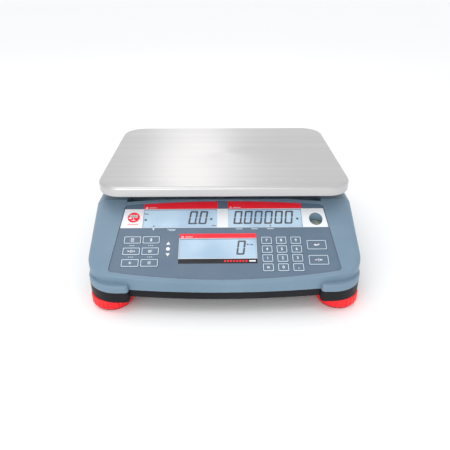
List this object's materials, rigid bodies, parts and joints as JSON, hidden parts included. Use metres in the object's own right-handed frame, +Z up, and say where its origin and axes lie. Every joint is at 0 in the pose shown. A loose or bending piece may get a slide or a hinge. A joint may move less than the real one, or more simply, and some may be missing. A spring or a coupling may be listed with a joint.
{
  "type": "counting scale",
  "caption": "Bench counting scale: stainless pan on a load cell, sloping panel with displays and keys, two-shell plastic body and fluted levelling feet.",
  "frame": {"origin": "on the table, under the middle of the scale's footprint", "axes": "+X to the user's right, -Y towards the user and the sloping panel, +Z up"},
  "size_m": [0.31, 0.33, 0.118],
  "materials": {
    "stainless": "brushed along the width",
    "housing_blue": "fine moulded texture",
    "housing_black": "fine moulded texture",
    "overlay_film": "satin printed film",
    "key_film": "satin printed film",
    "lcd_glass": "backlit display",
    "window_clear": "clear acrylic",
    "board_green": "solder mask",
    "light_white": "light pipe",
    "level_clear": "clear acrylic drum",
    "battery_case": "moulded case",
    "zinc_steel": "zinc plated",
    "connector_black": "moulded",
    "cast_aluminium": "cast and machined",
    "black_rubber": "moulded rubber",
    "foot_rubber": "moulded rubber",
    "brass_nut": "turned",
    "foot_red": "moulded, fluted"
  },
  "bodies": {
    "base": {"top_housing": "housing_blue", "bottom_housing": "housing_black", "panel_overlay": "overlay_film", "lcd_weight": "lcd_glass", "lcd_unit_weight": "lcd_glass", "lcd_count": "lcd_glass", "display_windows": "window_clear", "display_board": "board_green", "status_lights": "light_white", "level_vial": "level_clear", "main_board": "board_green", "power_supply": "board_green", "battery": "battery_case", "battery_strap": "zinc_steel", "ac_inlet": "connector_black", "serial_port": "connector_black", "base_plate": "zinc_steel", "load_cell": "cast_aluminium", "cell_spacer_lower": "cast_aluminium", "cell_bolts_lower": "zinc_steel", "overload_stops": "zinc_steel", "housing_screws": "zinc_steel", "foot_nuts": "brass_nut"},
    "platform": {"spider": "cast_aluminium", "pan_cushions": "black_rubber", "cell_spacer_upper": "cast_aluminium", "cell_bolts_upper": "zinc_steel"},
    "weighing_pan": {"pan": "stainless"},
    "foot_swivel_front_left": {"foot_pad_front_left": "foot_rubber"},
    "foot_screw_front_left": {"foot_wheel_front_left": "foot_red", "foot_stud_front_left": "zinc_steel"},
    "foot_swivel_front_right": {"foot_pad_front_right": "foot_rubber"},
    "foot_screw_front_right": {"foot_wheel_front_right": "foot_red", "foot_stud_front_right": "zinc_steel"},
    "foot_swivel_rear_left": {"foot_pad_rear_left": "foot_rubber"},
    "foot_screw_rear_left": {"foot_wheel_rear_left": "foot_red", "foot_stud_rear_left": "zinc_steel"},
    "foot_swivel_rear_right": {"foot_pad_rear_right": "foot_rubber"},
    "foot_screw_rear_right": {"foot_wheel_rear_right": "foot_red", "foot_stud_rear_right": "zinc_steel"},
    "key_7_body": {"key_7": "key_film"},
    "key_8_body": {"key_8": "key_film"},
    "key_9_body": {"key_9": "key_film"},
    "key_4_body": {"key_4": "key_film"},
    "key_5_body": {"key_5": "key_film"},
    "key_6_body": {"key_6": "key_film"},
    "key_1_body": {"key_1": "key_film"},
    "key_2_body": {"key_2": "key_film"},
    "key_3_body": {"key_3": "key_film"},
    "key_clear_body": {"key_clear": "key_film"},
    "key_0_body": {"key_0": "key_film"},
    "key_point_body": {"key_point": "key_film"},
    "key_function_1_body": {"key_function_1": "key_film"},
    "key_function_2_body": {"key_function_2": "key_film"},
    "key_function_3_body": {"key_function_3": "key_film"},
    "key_function_4_body": {"key_function_4": "key_film"},
    "key_function_5_body": {"key_function_5": "key_film"},
    "key_function_6_body": {"key_function_6": "key_film"},
    "key_enter_body": {"key_enter": "key_film"},
    "key_tare_body": {"key_tare": "key_film"}
  },
  "joints": [
    {"name": "platform_deflection", "type": "slide", "parent": "base", "child": "platform", "axis": [0, 0, -1], "range_m": [0, 0.0005], "stiffness_N_per_m": 73600, "springref_m": -0.00025, "deforming": ["load_cell"]},
    {"name": "pan_lift_off", "type": "slide", "parent": "platform", "child": "weighing_pan", "axis": [0, 0, 1], "range_m": [0, 0.06]},
    {"name": "foot_travel_front_left", "type": "slide", "parent": "base", "child": "foot_swivel_front_left", "axis": [0, 0, -1], "range_m": [0, 0.00625]},
    {"name": "foot_turn_front_left", "type": "hinge", "parent": "foot_swivel_front_left", "child": "foot_screw_front_left", "pos_m": [-0.1295, -0.138, 0.01], "axis": [0, 0, -1], "range_deg": [0, 1800]},
    {"name": "foot_travel_front_right", "type": "slide", "parent": "base", "child": "foot_swivel_front_right", "axis": [0, 0, -1], "range_m": [0, 0.00625]},
    {"name": "foot_turn_front_right", "type": "hinge", "parent": "foot_swivel_front_right", "child": "foot_screw_front_right", "pos_m": [0.1295, -0.138, 0.01], "axis": [0, 0, -1], "range_deg": [0, 1800]},
    {"name": "foot_travel_rear_left", "type": "slide", "parent": "base", "child": "foot_swivel_rear_left", "axis": [0, 0, -1], "range_m": [0, 0.00625]},
    {"name": "foot_turn_rear_left", "type": "hinge", "parent": "foot_swivel_rear_left", "child": "foot_screw_rear_left", "pos_m": [-0.1295, 0.138, 0.01], "axis": [0, 0, -1], "range_deg": [0, 1800]},
    {"name": "foot_travel_rear_right", "type": "slide", "parent": "base", "child": "foot_swivel_rear_right", "axis": [0, 0, -1], "range_m": [0, 0.00625]},
    {"name": "foot_turn_rear_right", "type": "hinge", "parent": "foot_swivel_rear_right", "child": "foot_screw_rear_right", "pos_m": [0.1295, 0.138, 0.01], "axis": [0, 0, -1], "range_deg": [0, 1800]},
    {"name": "key_7_press", "type": "slide", "parent": "base", "child": "key_7_body", "axis": [0, 0.4472, -0.8944], "range_m": [0, 0.0004], "stiffness_N_per_m": 6000, "springref_m": -0.0001},
    {"name": "key_8_press", "type": "slide", "parent": "base", "child": "key_8_body", "axis": [0, 0.4472, -0.8944], "range_m": [0, 0.0004], "stiffness_N_per_m": 6000, "springref_m": -0.0001},
    {"name": "key_9_press", "type": "slide", "parent": "base", "child": "key_9_body", "axis": [0, 0.4472, -0.8944], "range_m": [0, 0.0004], "stiffness_N_per_m": 6000, "springref_m": -0.0001},
    {"name": "key_4_press", "type": "slide", "parent": "base", "child": "key_4_body", "axis": [0, 0.4472, -0.8944], "range_m": [0, 0.0004], "stiffness_N_per_m": 6000, "springref_m": -0.0001},
    {"name": "key_5_press", "type": "slide", "parent": "base", "child": "key_5_body", "axis": [0, 0.4472, -0.8944], "range_m": [0, 0.0004], "stiffness_N_per_m": 6000, "springref_m": -0.0001},
    {"name": "key_6_press", "type": "slide", "parent": "base", "child": "key_6_body", "axis": [0, 0.4472, -0.8944], "range_m": [0, 0.0004], "stiffness_N_per_m": 6000, "springref_m": -0.0001},
    {"name": "key_1_press", "type": "slide", "parent": "base", "child": "key_1_body", "axis": [0, 0.4472, -0.8944], "range_m": [0, 0.0004], "stiffness_N_per_m": 6000, "springref_m": -0.0001},
    {"name": "key_2_press", "type": "slide", "parent": "base", "child": "key_2_body", "axis": [0, 0.4472, -0.8944], "range_m": [0, 0.0004], "stiffness_N_per_m": 6000, "springref_m": -0.0001},
    {"name": "key_3_press", "type": "slide", "parent": "base", "child": "key_3_body", "axis": [0, 0.4472, -0.8944], "range_m": [0, 0.0004], "stiffness_N_per_m": 6000, "springref_m": -0.0001},
    {"name": "key_clear_press", "type": "slide", "parent": "base", "child": "key_clear_body", "axis": [0, 0.4472, -0.8944], "range_m": [0, 0.0004], "stiffness_N_per_m": 6000, "springref_m": -0.0001},
    {"name": "key_0_press", "type": "slide", "parent": "base", "child": "key_0_body", "axis": [0, 0.4472, -0.8944], "range_m": [0, 0.0004], "stiffness_N_per_m": 6000, "springref_m": -0.0001},
    {"name": "key_point_press", "type": "slide", "parent": "base", "child": "key_point_body", "axis": [0, 0.4472, -0.8944], "range_m": [0, 0.0004], "stiffness_N_per_m": 6000, "springref_m": -0.0001},
    {"name": "key_function_1_press", "type": "slide", "parent": "base", "child": "key_function_1_body", "axis": [0, 0.4472, -0.8944], "range_m": [0, 0.0004], "stiffness_N_per_m": 6000, "springref_m": -0.0001},
    {"name": "key_function_2_press", "type": "slide", "parent": "base", "child": "key_function_2_body", "axis": [0, 0.4472, -0.8944], "range_m": [0, 0.0004], "stiffness_N_per_m": 6000, "springref_m": -0.0001},
    {"name": "key_function_3_press", "type": "slide", "parent": "base", "child": "key_function_3_body", "axis": [0, 0.4472, -0.8944], "range_m": [0, 0.0004], "stiffness_N_per_m": 6000, "springref_m": -0.0001},
    {"name": "key_function_4_press", "type": "slide", "parent": "base", "child": "key_function_4_body", "axis": [0, 0.4472, -0.8944], "range_m": [0, 0.0004], "stiffness_N_per_m": 6000, "springref_m": -0.0001},
    {"name": "key_function_5_press", "type": "slide", "parent": "base", "child": "key_function_5_body", "axis": [0, 0.4472, -0.8944], "range_m": [0, 0.0004], "stiffness_N_per_m": 6000, "springref_m": -0.0001},
    {"name": "key_function_6_press", "type": "slide", "parent": "base", "child": "key_function_6_body", "axis": [0, 0.4472, -0.8944], "range_m": [0, 0.0004], "stiffness_N_per_m": 6000, "springref_m": -0.0001},
    {"name": "key_enter_press", "type": "slide", "parent": "base", "child": "key_enter_body", "axis": [0, 0.4472, -0.8944], "range_m": [0, 0.0004], "stiffness_N_per_m": 6000, "springref_m": -0.0001},
    {"name": "key_tare_press", "type": "slide", "parent": "base", "child": "key_tare_body", "axis": [0, 0.4472, -0.8944], "range_m": [0, 0.0004], "stiffness_N_per_m": 6000, "springref_m": -0.0001}
  ],
  "couplings": [
    {"joint": "foot_turn_front_left", "follows": "foot_travel_front_left", "rad_per_m": 5026.5},
    {"joint": "foot_turn_front_right", "follows": "foot_travel_front_right", "rad_per_m": 5026.5},
    {"joint": "foot_turn_rear_left", "follows": "foot_travel_rear_left", "rad_per_m": 5026.5},
    {"joint": "foot_turn_rear_right", "follows": "foot_travel_rear_right", "rad_per_m": 5026.5}
  ]
}
